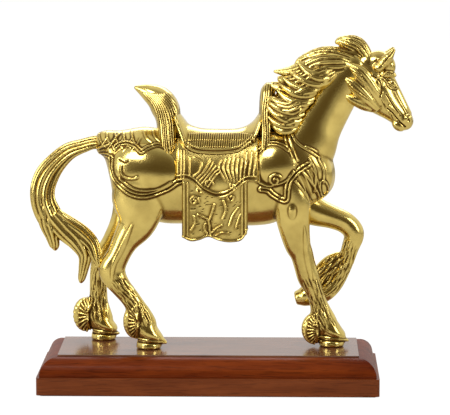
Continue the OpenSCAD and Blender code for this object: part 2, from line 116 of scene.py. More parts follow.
def ease(x):
    x = np.clip(x, 0, 1)
    return x * x * (3 - 2 * x)


def nearest(x, z, line):
    """Distance from each point to a polyline, the fraction of its length there, and the side."""
    a, b = line[:-1], line[1:]
    d = b - a
    length = np.maximum(np.hypot(d[:, 0], d[:, 1]), 1e-9)
    start = np.concatenate([[0], np.cumsum(length)])
    best = np.full(x.shape, 1e9)
    along = np.zeros(x.shape)
    side = np.zeros(x.shape)
    for i in range(len(a)):
        t = np.clip(((x - a[i, 0]) * d[i, 0] + (z - a[i, 1]) * d[i, 1]) / length[i] ** 2, 0, 1)
        ex, ez = x - a[i, 0] - t * d[i, 0], z - a[i, 1] - t * d[i, 1]
        dist = np.hypot(ex, ez)
        near = dist < best
        best[near] = dist[near]
        along[near] = (start[i] + t[near] * length[i]) / start[-1]
        side[near] = np.sign(d[i, 0] * ez[near] - d[i, 1] * ex[near])
    return best, along, side


class Relief:
    """Adds up lines and pads, in millimetres of height, over points seen from the side."""

    def __init__(self, x, z, mask=None):
        self.x, self.z = x, z
        self.mask = np.ones(x.shape) if mask is None else mask
        self.h = np.zeros(x.shape)

    def near(self, line, reach):
        lo, hi = line.min(0) - reach, line.max(0) + reach
        return (self.mask > 0) & (self.x > lo[0]) & (self.x < hi[0]) & (self.z > lo[1]) & (self.z < hi[1])

    def line(self, points, width, height, steps=6, taper=0.0, offset=0.0):
        """A ridge, or a groove where height is negative, that follows a curve."""
        curve = spline(np.asarray(points, float)[:, :2], steps)
        pick = self.near(curve, width + abs(offset))
        if not pick.any():
            return
        d, along, side = nearest(self.x[pick], self.z[pick], curve)
        d = np.abs(d * side - offset) if offset else d
        w = width * (1 - taper * (2 * np.abs(along - 0.5)) ** 2) / 2
        self.h[pick] += self.mask[pick] * height * (1 - np.clip(d / np.maximum(w, 0.05), 0, 1) ** 2) ** 2

    def lines(self, *rows):
        """Plain lines, each as its points, width and height."""
        for row in rows:
            self.line(*row)

    def double(self, points, gap, width, height):
        """Two ridges side by side with a groove between them."""
        for offset in (-gap / 2, gap / 2):
            self.line(points, width, height, offset=offset)
        self.line(points, gap * 0.7, -height * 0.5)

    def pad(self, x, z, rx, rz, height):
        """A soft bump on an oval plan, or a hollow where height is negative."""
        r = ((self.x - x) / rx) ** 2 + ((self.z - z) / rz) ** 2
        self.h += self.mask * height * np.clip(1 - r, 0, 1) ** 1.5

    def swirl(self, x, z, radius, turns, width, height, start=0.0, way=1):
        t = np.linspace(0, 1, max(int(turns * 14), 6))
        a = start + way * 2 * math.pi * turns * t
        r = radius * (1 - 0.8 * t)
        self.line(np.stack([x + r * np.cos(a), z + r * np.sin(a)], 1), width, height, steps=1)


# ---- Meshes ----
class Clay:
    """Closed shells that are fused into one even surface."""

    def __init__(self):
        self.v, self.f, self.n = [], [], 0

    def add(self, points, faces):
        self.v.append(points)
        self.f += [[i + self.n for i in face] for face in faces]
        self.n += len(points)

    def loft(self, stations, sides=32, steps=5, upright=False, ribs=0, depth=0.0, twist=0.0, grow=0.0):
        """An oval tube along a path. Ribs are strands that run along it, and grow thickens or thins it."""
        p = spline(stations, steps)
        d = np.gradient(p[:, :2], axis=0)
        d /= np.maximum(np.linalg.norm(d, axis=1), 1e-9)[:, None]
        if upright:
            d[:] = (1, 0)
        a = 2 * math.pi * np.arange(sides) / sides
        s = np.linspace(0, 1, len(p))[:, None]
        wave = np.abs(np.sin((ribs * a[None] + twist * s * 2 * math.pi) / 2)) ** 0.7 if ribs else 0
        size = np.minimum(p[:, 2], p[:, 3])[:, None]
        rise = (grow + depth * wave) * np.minimum(1, size / 4)
        up, out = (p[:, 2:3] + rise) * np.cos(a), (p[:, 3:4] + rise) * np.sin(a)
        points = np.stack([p[:, 0:1] - d[:, 1:2] * up, p[:, 4:5] + out, p[:, 1:2] + d[:, 0:1] * up], -1)
        n = len(p)
        faces = [[i * sides + j, i * sides + (j + 1) % sides, (i + 1) * sides + (j + 1) % sides,
                  (i + 1) * sides + j] for i in range(n - 1) for j in range(sides)]
        faces += [list(range(sides))[::-1], [(n - 1) * sides + j for j in range(sides)]]
        self.add(points.reshape(-1, 3), faces)

    def ball(self, at, radii, tilt=0.0, rings=14, sides=24):
        """An ellipsoid, tilted in the side view."""
        u = math.pi * np.arange(1, rings) / rings
        a = 2 * math.pi * np.arange(sides) / sides
        ring = np.stack([np.sin(u)[:, None] * np.cos(a), np.sin(u)[:, None] * np.sin(a),
                         np.repeat(np.cos(u)[:, None], sides, 1)], -1).reshape(-1, 3)
        p = np.vstack([ring, [[0, 0, 1]], [[0, 0, -1]]]) * radii
        c, s = math.cos(math.radians(tilt)), math.sin(math.radians(tilt))
        p = np.stack([p[:, 0] * c - p[:, 2] * s, p[:, 1], p[:, 0] * s + p[:, 2] * c], 1) + at
        n = rings - 1
        faces = [[i * sides + j, (i + 1) * sides + j, (i + 1) * sides + (j + 1) % sides,
                  i * sides + (j + 1) % sides] for i in range(n - 1) for j in range(sides)]
        faces += [[n * sides, j, (j + 1) % sides] for j in range(sides)]
        faces += [[n * sides + 1, (n - 1) * sides + (j + 1) % sides, (n - 1) * sides + j]
                  for j in range(sides)]
        self.add(p, faces)

    def rod(self, a, b, ra, rb, wide=1.0):
        """A tapered round-ended rod between two points, wider in y by a factor."""
        a, b = np.asarray(a, float), np.asarray(b, float)
        count = max(3, int(np.linalg.norm(b - a) / (0.3 * (ra + rb))) + 1)
        for k in range(count):
            t = k / (count - 1)
            r = ra + (rb - ra) * t
            self.ball(a + (b - a) * t, (r, r * wide, r), rings=8, sides=12)

    def fuse(self, voxel):
        """The shells as one surface of even quads: points and faces."""
        mesh = bpy.data.meshes.new("clay")
        mesh.from_pydata(np.vstack(self.v).tolist(), [], self.f)
        lump = bpy.data.objects.new("clay", mesh)
        bpy.context.scene.collection.objects.link(lump)
        remesh = lump.modifiers.new("fuse", "REMESH")
        remesh.mode = "VOXEL"
        remesh.voxel_size = voxel
        bpy.context.view_layer.update()
        done = bpy.data.meshes.new_from_object(lump.evaluated_get(bpy.context.evaluated_depsgraph_get()))
        v = np.empty(len(done.vertices) * 3)
        done.vertices.foreach_get("co", v)
        f = np.empty(len(done.loops), np.int64)
        done.loops.foreach_get("vertex_index", f)
        bpy.data.objects.remove(lump)
        bpy.data.meshes.remove(mesh)
        bpy.data.meshes.remove(done)
        return v.reshape(-1, 3), f.reshape(-1, 4)


def average(values, f, rounds, amount=1.0):
    """Each point's values, drawn towards the mean of its neighbours."""
    i = np.concatenate([f.ravel(), np.roll(f, -1, 1).ravel()])
    j = np.concatenate([np.roll(f, -1, 1).ravel(), f.ravel()])
    count = np.maximum(np.bincount(i, minlength=len(values)), 1)
    flat = values.reshape(len(values), -1).copy()
    for _ in range(rounds):
        for k in range(flat.shape[1]):
            flat[:, k] += amount * (np.bincount(i, flat[j, k], len(flat)) / count - flat[:, k])
    return flat.reshape(values.shape)


def normals(v, f):
    n = np.cross(v[f[:, 2]] - v[f[:, 0]], v[f[:, 3]] - v[f[:, 1]])
    total = np.zeros_like(v)
    for k in range(3):
        total[:, k] = sum(np.bincount(f[:, c], n[:, k], len(v)) for c in range(4))
    return total / np.maximum(np.linalg.norm(total, axis=1), 1e-12)[:, None]


def recesses(v, f, h=None):
    """How deep each point lies below its surroundings, from 0 to 1."""
    n = normals(v, f)
    hollow = ((average(v, f, 3) - v) * n).sum(1)
    hollow = average(hollow, f, 2) / 0.10
    if h is not None:
        hollow = hollow + (average(h, f, 8, 0.8) - h) / 0.45
    return np.clip(hollow, 0, 1)


def to_world(v):
    return v * MM + np.array([0, MIDDLE, BASE_TOP])


def piece(name, v, faces, recess, nodes, shading=None):
    """A brass casting made of points in the horse's frame, riding on the one body."""
    mesh = bpy.data.meshes.new(name)
    mesh.from_pydata(to_world(np.asarray(v)).tolist(), [], faces if isinstance(faces,
            list) else faces.tolist())
    mesh.polygons.foreach_set("use_smooth", np.ones(len(mesh.polygons), bool))
    # how deep each point lies in a recess, which the brass turns into painted shade
    dark = mesh.attributes.new("recess", "FLOAT", "POINT")
    dark.data.foreach_set("value", np.asarray(recess, np.float32))
    mesh.materials.append(brass)
    if shading is not None:
        mesh.normals_split_custom_set_from_vertices(shading.tolist())
    made = bpy.data.objects.new(name, mesh)
    bpy.context.scene.collection.objects.link(made)
    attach(made, "root")
    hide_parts(*nodes)


def torso_ring(x):
    """Centre height, half height and half width of the torso at x."""
    p = spline(TORSO, 5)
    return [np.interp(x, p[:, 0], p[:, k]) for k in (1, 2, 3)]


def flank(x, z, grow=0.0):
    """How far out the torso's side is at a point seen from the side."""
    c, h, w = torso_ring(x)
    v = np.clip(np.abs(z - c) / (h + grow), 0, 0.999)
    return (w + grow) * np.sqrt(1 - v * v)


# ---- Materials ----
def nodes_of(name):
    material = bpy.data.materials.new(name)
    material.use_nodes = True
    tree = material.node_tree
    return material, tree.nodes, tree.links, tree.nodes["Principled BSDF"]


def added(nodes, kind, values=None, **properties):
    """A new shader node with its properties and its input values set."""
    node = nodes.new("ShaderNode" + kind)
    for name, value in properties.items():
        setattr(node, name, value)
    for name, value in (values or {}).items():
        node.inputs[name].default_value = value
    return node


def through(nodes, links, source, entry, leave, kind, values=None, **properties):
    """A new node that the source runs through: what leaves it."""
    node = added(nodes, kind, values, **properties)
    links.new(source, node.inputs[entry])
    return node.outputs[leave]


def noise(nodes, links, place, **values):
    """A noise pattern over the points of place."""
    return through(nodes, links, place, "Vector", "Fac", "TexNoise", values)


def weighed(nodes, links, first, weight, second):
    """The first value times a weight, plus the second."""
    node = added(nodes, "Math", {1: weight}, operation="MULTIPLY_ADD")
    links.new(first, node.inputs[0])
    links.new(second, node.inputs[2])
    return node.outputs[0]


def ramp_of(nodes, links, source, first, *middle, last):
    """Colours along the source. Each stop is a position and a colour."""
    node = added(nodes, "ValToRGB")
    stops = node.color_ramp.elements
    for stop, (position, colour) in zip(stops, (first, last)):
        stop.position, stop.color = position, (*colour, 1)
    for position, colour in middle:
        stops.new(position).color = (*colour, 1)
    links.new(source, node.inputs["Fac"])
    return node.outputs["Color"]


def roughen(nodes, links, shader, height, values):
    """Small bumps of this height on the shader's surface."""
    normal = through(nodes, links, height, "Height", "Normal", "Bump", values)
    links.new(normal, shader.inputs["Normal"])


def brass_material():
    """Polished cast brass: painted shade turns the recesses brown and dark, with faint cloudiness and fine
    casting pits.
    """
    material, nodes, links, shader = nodes_of("polished_brass")
    shader.inputs["Metallic"].default_value = 1.0
    place = added(nodes, "TexCoord").outputs["Object"]
    recess = added(nodes, "Attribute", attribute_name="recess").outputs["Fac"]
    cloud = noise(nodes, links, place, Scale=70, Detail=5)
    grain = noise(nodes, links, place, Scale=900, Detail=3)
    # painted shade: the colour runs to dark brown where a point lies deep in a recess, on top of faint
    # random cloudiness
    cloud_and_recess_shade = weighed(nodes, links, cloud, 0.5, recess)
    colour = ramp_of(nodes, links, cloud_and_recess_shade, (0.18, (0.83, 0.65, 0.20)), (0.55, (0.42, 0.29, 0.07)),
                     last=(0.90, (0.10, 0.050, 0.010)))
    links.new(colour, shader.inputs["Base Color"])
    rough = through(nodes, links, cloud_and_recess_shade, "Value", "Result", "MapRange",
                    {"From Min": 0.2, "From Max": 1.0, "To Min": 0.16, "To Max": 0.46})
    links.new(rough, shader.inputs["Roughness"])
    height = weighed(nodes, links, cloud, 2.2, grain)
    roughen(nodes, links, shader, height, {"Strength": 0.35, "Distance": 0.00012})
    return material


def wood_material(name, dark, light, streak, tilt=0.0, rough=0.30, shine=1.0):
    """Stained hardwood under lacquer: long streaks, broad figure and fine pores."""
    material, nodes, links, shader = nodes_of(name)
    place = added(nodes, "TexCoord").outputs["Object"]
    turn, fine = (through(nodes, links, place, "Vector", "Vector", "Mapping",
                          {"Rotation": (0, tilt, 0), "Scale": scale})
                  for scale in ((1.0, 6.0, 9.0), (30, 500, 700)))
    figure = noise(nodes, links, turn, Scale=6.0, Detail=4, Distortion=0.6)
    streaks = noise(nodes, links, turn, Scale=streak, Detail=6, Roughness=0.65)
    pore = noise(nodes, links, fine, Scale=1.5, Detail=2)
    half = through(nodes, links, figure, 0, 0, "Math", {1: 0.45}, operation="MULTIPLY")
    mix = weighed(nodes, links, streaks, 0.55, half)
    colour = ramp_of(nodes, links, mix, (0.36, dark), last=(0.64, light))
    dark_pores = through(nodes, links, pore, "Value", "Result", "MapRange",
                         {"From Min": 0.36, "From Max": 0.46, "To Min": 0.62})
    shade = added(nodes, "Mix", {"Factor": 1}, data_type="RGBA", blend_type="MULTIPLY")
    links.new(colour, shade.inputs[6])
    links.new(dark_pores, shade.inputs[7])
    links.new(shade.outputs[2], shader.inputs["Base Color"])
    gloss = through(nodes, links, pore, "Value", "Result", "MapRange",
            {"To Min": rough + 0.12, "To Max": rough})
    links.new(gloss, shader.inputs["Roughness"])
    roughen(nodes, links, shader, pore, {"Strength": 0.15, "Distance": 0.0001})
    shader.inputs["Specular IOR Level"].default_value = 0.5 * shine
    shader.inputs["Coat Weight"].default_value = 0.22 * shine
    shader.inputs["Coat Roughness"].default_value = 0.12
    return material


def felt_material():
    material, nodes, links, shader = nodes_of("green_felt")
    place = added(nodes, "TexCoord").outputs["Object"]
    fuzz = noise(nodes, links, place, Scale=1400, Detail=4)
    colour = ramp_of(nodes, links, fuzz, (0, (0.006, 0.028, 0.012)), last=(1, (0.03, 0.10, 0.045)))
    links.new(colour, shader.inputs["Base Color"])
    roughen(nodes, links, shader, fuzz, {"Distance": 0.0003})
    shader.inputs["Roughness"].default_value = 0.95
    shader.inputs["Sheen Weight"].default_value = 0.5
    return material


def steel_material():
    material, nodes, links, shader = nodes_of("zinc_plated_steel")
    place = added(nodes, "TexCoord").outputs["Object"]
    cloud = noise(nodes, links, place, Scale=600)
    colour = ramp_of(nodes, links, cloud, (0, (0.50, 0.50, 0.52)), last=(1, (0.72, 0.72, 0.74)))
    links.new(colour, shader.inputs["Base Color"])
    shader.inputs["Metallic"].default_value = 1.0
    shader.inputs["Roughness"].default_value = 0.35
    return material


brass = brass_material()
slab_wood = wood_material("rosewood_slab", (0.115, 0.024, 0.005), (0.23, 0.058, 0.015), 12, tilt=0.4,
        rough=0.36, shine=0.25)
moulding_wood = wood_material("rosewood_moulding", (0.085, 0.011, 0.002), (0.19, 0.034, 0.005), 18,
        rough=0.28, shine=0.1)
panel_wood = wood_material("rosewood_panel", (0.10, 0.035, 0.014), (0.22, 0.085, 0.035), 20, rough=0.16)


# ---- Body and legs ----
# Fans of hair behind the fetlocks: x, z, y, half width, half height, first and last angle
FANS = [(93.8, 15.8, -8.2, 12.2, 14.6, 96, 262), (-65.4, 24.0, -20, 11.4, 15.6, 100, 262),
        (-112.6, 22.6, 21, 12.2, 16.0, 66, 275)]
FAN_TEETH = 13  # scallops on the edge of a fan
BODY_VOXEL, BODY_ROUNDS = 0.6, 22
LEG_TOP = 118  # the marks of the legs end at this height
TRUNK_LOW = 112  # and those of the flanks begin at this one
DOMES = [((-57.5, 161), (30, 22), 3.6), ((60, 167), (18, 20), 3.4)]  # place, radii and swell


def hair_fan(clay, x, z, y, wide, high, first, last):
    """The fan of hair behind a fetlock: a thick shell with a scalloped edge."""
    clay.ball((x, y, z), (wide - 1.4, 8.0, high - 1.4))
    clay.ball((x + 5, y, z + 2), (8.5, 8.8, high - 1.5), tilt=-12)
    for k in range(FAN_TEETH):
        a = math.radians(first + (last - first) * k / (FAN_TEETH - 1))
        clay.ball((x + (wide - 1.9) * math.cos(a), y, z + (high - 1.9) * math.sin(a)), (1.9, 4.8, 1.9),
                  rings=8, sides=12)


def fan_ridges(relief, x, z, wide, high, first, last):
    """Ridges that spread from the middle of a fan to its edge."""
    for k in range(FAN_TEETH):
        a = math.radians(first + (last - first) * k / (FAN_TEETH - 1))
        relief.line([[x + 3 + (wide * r - 3) * math.cos(a), z + high * r * math.sin(a)]
                     for r in (0.25, 0.6, 1.0)], 2.1, 1.1, steps=3)


def hoof(clay, x, y, length):
    """A planted hoof under the pointed hair cap of its pastern."""
    clay.loft([[x, 0.1, 11.4, 11.4, y], [x, 1.2, 11.4, 11.4, y], [x, 6, 10.5, 10.6, y],
               [x + 1, 10, 8.5, 8.5, y]], sides=48)
    clay.loft([[x - 9, 24, 8.5, 8.8, y], [x - 4, 18, 10, 10.2, y], [x + 2, 12.5, 8.8, 11.0, y],
               [x + 8, 8.8, 5.8, 9.0, y], [x + length, 6.3, 3.0, 5.2, y],
               [x + length + 4.2, 4.9, 0.9, 1.8, y]], steps=6)


def mirrored(path, side):
    """A loft's stations on one side of the horse."""
    return [[x, z, h, w, side * y] for x, z, h, w, y in path]


def mirror_pair(clay, at, radii, tilt=0):
    for side in (RIGHT, LEFT):
        clay.ball((at[0], side * at[1], at[2]), radii, tilt=tilt)


body = Clay()
body.loft(TORSO, sides=64, steps=6, upright=True)
body.loft(NECK, sides=48)
for line in (FORELEG_RIGHT, HINDLEG_RIGHT, HINDLEG_LEFT, FORELEG_LEFT):
    body.loft(line, sides=40)
mirror_pair(body, (92, 10, 158), (17, 12, 23), tilt=20)  # breast
body.ball((96.5, 0, 172), (13.5, 16, 17))
mirror_pair(body, (-64, 15, 138), (22, 13.5, 27), tilt=-15)  # thigh
mirror_pair(body, (72, 15, 143), (16, 13, 20), tilt=15)  # shoulder
hoof(body, 109, -6.5, 11)
hoof(body, -53.5, -20, 12.5)
hoof(body, -96.5, 21, 10)
# the lifted hoof, folded back under its pastern
body.loft([[95, 43, 8.5, 8.5, 17], [88, 41.6, 9.6, 9.6, 17], [83, 40.2, 8.8, 9.4, 17],
           [82, 40, 7.6, 8.6, 17], [78, 39, 6.6, 7.8, 17], [76.4, 38.6, 5.8, 7.2, 17]], sides=32)
for fan in FANS:
    hair_fan(body, *fan)
body.loft([[119, 76, 7, 4, 17], [111, 70, 10, 5.5, 17], [103, 62, 10.5, 6.5, 17], [96, 52, 9, 7, 17],
           [92, 46, 6, 6, 17]], sides=32)

body_v, body_f = body.fuse(BODY_VOXEL * FINE)
body_v = average(body_v, body_f, int(BODY_ROUNDS / FINE ** 2), 0.5)
body_n = normals(body_v, body_f)
bx, by, bz = body_v.T
side_on = ease((np.abs(body_n[:, 1]) - 0.10) / 0.4)
outside = side_on * (np.sign(body_n[:, 1]) == np.sign(by))


def harness(relief):
    """Straps, domes and draped cloth on one flank."""
    # hip: a polished dome under a heart-shaped border
    relief.double([[-86, 171], [-85, 158], [-80, 149], [-72, 142], [-64, 138.6], [-55, 138], [-45, 140.5],
                   [-35, 145], [-28, 150], [-20, 153]], 2.8, 2.4, 1.1)
    relief.line([[-78, 153], [-70, 146.6], [-62, 143], [-52, 142.6], [-42, 145], [-33, 150]], 2.4, 0.9)
    relief.double([[-83, 179], [-81, 181], [-76, 183], [-70, 183], [-64, 180.5], [-59, 175.5]], 2.4, 2.2,
            1.0)
    relief.double([[-59, 175.5], [-54, 179], [-46, 182], [-40, 181], [-33, 178]], 2.4, 2.2, 1.0)
    relief.line([[-78, 169], [-73, 166.5], [-70, 168]], 2.2, -0.9)
    relief.line([[-76, 164], [-76, 158], [-72, 154], [-66, 153], [-62, 155]], 2.0, 0.8)
    # shoulder: a dome, a swirl under it and a strap to the breast
    relief.double([[44, 177], [50, 182], [56, 183.5], [64, 182], [70, 178]], 2.4, 2.2, 1.0)
    relief.line([[45, 150], [52, 147], [60, 148], [68, 152], [74, 160]], 2.4, 0.9)
    relief.swirl(58, 152, 6, 1.3, 2.0, 1.0, start=0.5)
    relief.double([[46, 144], [52, 143], [57, 138.5], [64, 134.5], [68, 135], [69, 144], [72, 153],
            [80, 161], [88, 166]], 3.0, 2.4, 1.1)
    relief.pad(73.5, 124, 4.0, 7.5, 1.2)
    # drape over the breast: straps, folds and a curled leaf
    relief.pad(66, 203, 4.5, 4.5, 1.6)
    relief.lines(
        ([[68, 198], [72, 184], [78, 169]], 3.0, 0.9),
        ([[70, 196], [78, 184], [90, 176], [97, 171]], 3.0, 0.9),
        ([[66, 196], [68, 184], [73, 172]], 2.0, 0.9),
        ([[85, 181], [90, 179], [95, 176]], 2.0, 1.0),
        ([[88, 171], [94, 158], [93, 141]], 3.0, 0.8),
        ([[96, 170], [101, 160], [101, 149]], 3.0, 0.8),
        ([[82, 160], [90, 150], [96, 139], [98, 130]], 3.0, 0.8),
        ([[76, 151], [84, 141], [90, 131]], 2.6, 0.6),
        ([[98, 150], [102, 150], [105, 144], [104, 137], [100, 136], [98, 142], [98, 150]], 2.0, 1.0))
    for k in range(4):
        relief.line([[74 + 4 * k, 165 + k], [82 + 4 * k, 150 + 2 * k], [87 + 3.5 * k, 136 + 2 * k]], 1.5,
                    0.5, taper=0.6)
    # leaf cloth behind the saddle and over the dock
    for k in range(5):
        x = -99 + 7.5 * k
        relief.line([[x, 193], [x + 3, 184], [x + 8, 179]], 1.8, 0.8, taper=0.5)
        relief.line([[x + 1, 176], [x + 5, 181], [x + 9, 188]], 1.6, 0.7, taper=0.5)
    relief.line([[-102, 176], [-95, 179], [-86, 183], [-80, 190]], 2.6, 1.1)
    relief.double([[-101, 170], [-92, 172], [-86, 171]], 2.4, 2.0, 0.9)
    for k in range(4):
        relief.line([[-58 + 8 * k, 197], [-56 + 8 * k, 189], [-50 + 8 * k, 184]], 1.6, 0.6, taper=0.5)
    # girth and edge of the under cloth
    relief.double([[-24, 178], [-24, 153]], 2.4, 1.8, 0.9)
    relief.double([[41, 178], [42, 166], [43, 152]], 2.4, 1.8, 0.8)


def leg_marks(relief):
    """Tendons, fine combed hair and curls from the knees down; they run along each cannon."""
    relief.line([[84, 112], [86, 90], [88, 76], [92, 55]], 6.0, 0.5, taper=1.0)
    relief.line([[95, 60], [98, 48], [104, 34], [112, 20]], 2.0, 0.6)
    relief.line([[-66, 116], [-77, 90], [-84, 76], [-86, 60]], 6.0, 0.5, taper=1.0)
    relief.line([[-78, 62], [-70, 50], [-62, 38], [-54, 24]], 2.0, 0.6)
    relief.swirl(95.5, 21.5, 3.4, 1.0, 1.6, 0.9)


def strands(relief, path, spread, first, last, pitch, height, seed):
    """Short combed strokes along a path, between two fractions of its length."""
    dice = np.random.default_rng(seed)
    curve = spline(np.asarray(path, float)[:, :2], 8)
    steps = np.hypot(*np.diff(curve, axis=0).T)
    run = np.concatenate([[0], np.cumsum(steps)])
    at = first * run[-1]
    while at < last * run[-1]:
        for _ in range(int(max(2, spread / 1.7))):
            s = at + dice.uniform(0, pitch)
            c = np.array([np.interp(s, run, curve[:, k]) for k in (0, 1)])
            e = np.array([np.interp(s + 1.5, run, curve[:, k]) for k in (0, 1)])
            d = (e - c) / max(np.linalg.norm(e - c), 1e-6)
            across = np.array([-d[1], d[0]]) * dice.uniform(-1, 1) * spread
            bend = np.array([-d[1], d[0]]) * dice.uniform(-0.8, 0.8)
            long = pitch * dice.uniform(0.7, 1.2)
            relief.line([c + across - d * long, c + across + bend, c + across + d * long], 1.7, height,
                        steps=3, taper=0.8)
        at += pitch * 0.8


trunk_zone = ease((bz - TRUNK_LOW) / 8) * (1 - ease((bx - 108) / 6))
flanks = Relief(bx, bz, outside * trunk_zone)
harness(flanks)
near_legs = Relief(bx, bz, side_on * ease((LEG_TOP - bz) / 8) * (by < 5))
far_legs = Relief(bx, bz, side_on * ease((LEG_TOP - bz) / 8) * (by >= 5))
leg_marks(near_legs)
strands(near_legs, FORELEG_RIGHT, 8, 0.68, 0.94, 5, 0.5, 3)
strands(near_legs, HINDLEG_RIGHT, 8, 0.66, 0.94, 5, 0.5, 4)
strands(far_legs, HINDLEG_LEFT, 8, 0.64, 0.94, 5, 0.5, 5)
strands(far_legs, FORELEG_LEFT, 8, 0.56, 0.92, 5, 0.5, 6)
for relief, (x, z, _, *shape) in zip((near_legs, near_legs, far_legs), FANS):
    fan_ridges(relief, x, z, *shape)
strands(far_legs, [[119, 76], [111, 70], [103, 62], [96, 52]], 8, 0.05, 0.95, 5, 0.7, 7)
for near, x, z in ((near_legs, 109, 10), (near_legs, -53.5, 10), (far_legs, -96.5, 10)):
    near.line([[x - 12, z], [x - 3, z - 1], [x + 8, z - 3], [x + 15, z - 5]], 2.6, 0.9)
    near.line([[x - 10, z - 3.4], [x, z - 4], [x + 11, z - 5]], 2.0, -0.8)
body_h = flanks.h + near_legs.h + far_legs.h
body_v = body_v + body_n * body_h[:, None]
# the domes swell out of the flanks
for (dx, dz), (rx, rz), rise in DOMES:
    r = np.sqrt(((bx - dx) / rx) ** 2 + ((bz - dz) / rz) ** 2)
    lift = np.clip(1 - r ** 2, 0, 1) ** 0.75 * rise * ease((np.abs(body_n[:, 1]) - 0.05) / 0.3)
    body_v = body_v + body_n * lift[:, None]
body_v = average(body_v, body_f, 1, 0.4)
body_recess = recesses(body_v, body_f, body_h)
body_n = normals(body_v, body_f)


# ---- Cutting the body into its castings ----
def cut_out(v, f, pick):
    """The picked faces of a closed surface, closed again along every cut edge."""
    faces = f[pick]
    n = len(v)
    a, b = faces.ravel(), np.roll(faces, -1, 1).ravel()
    free = ~np.isin(a * n + b, b * n + a)
    onward = {}
    for start, end in zip(a[free].tolist(), b[free].tolist()):
        onward.setdefault(start, []).append(end)
    made, centres = faces.tolist(), []
    while onward:
        first = next(iter(onward))
        loop, at = [first], first
        while at in onward:
            ends = onward[at]
            step = ends.pop()
            if not ends:
                del onward[at]
            if step == first:
                break
            loop.append(step)
            at = step
        middle = n + len(centres)
        centres.append(v[loop].mean(0))
        made += [[q, p, middle] for p, q in zip(loop, loop[1:] + loop[:1])]
    points = np.vstack([v] + [c[None] for c in centres])
    used = np.unique(np.concatenate([faces.ravel(), np.arange(n, len(points))]))
    new = np.full(len(points), -1)
    new[used] = np.arange(len(used))
    made = [[int(new[i]) for i in face] for face in made]
    return points[used], made, used[used < n]


LEG_CUT = 106  # the legs are cut from the body at this height
HIND_END, FORE_START = -20, 30
FORE_MIDDLE = 5  # y between the planted foreleg and the lifted one
centre = body_v[body_f].mean(1)
cx, cy, cz = centre.T
neck_part = ((cx - 84) * 0.5 + (cz - 183) * 0.86 > 0) & (cx > 55)
hind = (cx < HIND_END) & (cz < LEG_CUT)
fore_right = (cx > FORE_START) & (cy < FORE_MIDDLE) & (cz < LEG_CUT)
raised = (cz < 128) & (cx > 84) & ((cx - 90) * 0.9 - (cz - 119) * 0.35 > 0)
fore_left = (cx > FORE_START) & (cy >= FORE_MIDDLE) & ((cz < LEG_CUT) | raised)
trunk = ~(neck_part | hind | fore_right | fore_left)
for name, pick, node in (("neck_casting", neck_part, "neck"),
                         ("hindleg_right_casting", hind & (cy < 0), "hindleg_right"),
                         ("hindleg_left_casting", hind & (cy >= 0), "hindleg_left"),
                         ("foreleg_right_casting", fore_right, "foreleg_right"),
                         ("foreleg_left_casting", fore_left, "foreleg_left"),
                         ("torso_right_casting", trunk & (cy < 0), "torso_right"),
                         ("torso_left_casting", trunk & (cy >= 0), "torso_left")):
    points, faces, used = cut_out(body_v, body_f, pick)
    recess = np.zeros(len(points))
    recess[:len(used)] = body_recess[used]
    shading = np.tile([0.0, 0.0, 1.0], (len(points), 1))
    shading[:len(used)] = body_n[used]
    piece(name, points, faces, recess, [node], shading)


# ---- Head ----
HEAD_VOXEL, HEAD_ROUNDS = 0.45, 16
CHEEK_HAIR = [
    [[152, 217, 3.6, 3.2, 8.4], [145, 229, 6, 4.2, 11.4], [133, 245, 5.6, 4.4, 11.8],
     [119, 254, 1, 1, 9.8]],
    [[149, 212, 3.6, 3.2, 8.2], [139.5, 222, 6, 4.4, 11.8], [128, 234, 5.4, 4.4, 12],
     [116.5, 242, 1, 1, 11]],
    [[146, 213, 3.5, 3.6, 7.4], [136, 217.5, 5.2, 4.2, 10.4], [126, 222, 4, 4, 10.8],
     [117.5, 226, 1, 1, 10.5]]]
head = Clay()
head.loft(HEAD, sides=48, steps=7)
head.ball((148.5, 0, 250.7), (13.5, 10.6, 13.3))
head.ball((140, 0, 252), (12, 9, 11))
for side in (RIGHT, LEFT):
    head.ball((142, side * 8.2, 235), (12, 6.2, 13), tilt=-35)  # cheek
    head.ball((147, side * 10.2, 235.5), (6.5, 4.6, 5.5), tilt=-30)  # cheekbone
    head.rod((153, side * 9.6, 243.4), (163, side * 7.8, 242.4), 2.9, 2.0)
    head.ball((160.4, side * 8.2, 234.6), (4.4, 3.2, 3.0), tilt=-35)  # eye
    head.rod((153, side * 8.6, 229), (164, side * 6.6, 214), 2.4, 1.6)  # face ridge
    head.ball((174.6, side * 5.6, 203.5), (4.4, 3.6, 4.6))  # nostril
    head.ball((167, side * 4.5, 197.5), (6.5, 4.0, 4.5), tilt=-35)  # lower lip
    head.rod((149, side * 8.4, 250), (157, side * 9.2, 258), 5.4, 4.8)
    head.rod((157, side * 9.2, 258), (162, side * 8.8, 264.6), 4.8, 1.9)
    head.ball((157.5, side * 5.5, 251), (6.5, 5, 9.5), tilt=10)
    for path in CHEEK_HAIR:
        head.loft(mirrored(path, side), sides=48, ribs=8, depth=0.9)
head.rod((157, 0, 243), (174.5, 0, 208), 4.8, 4.4)

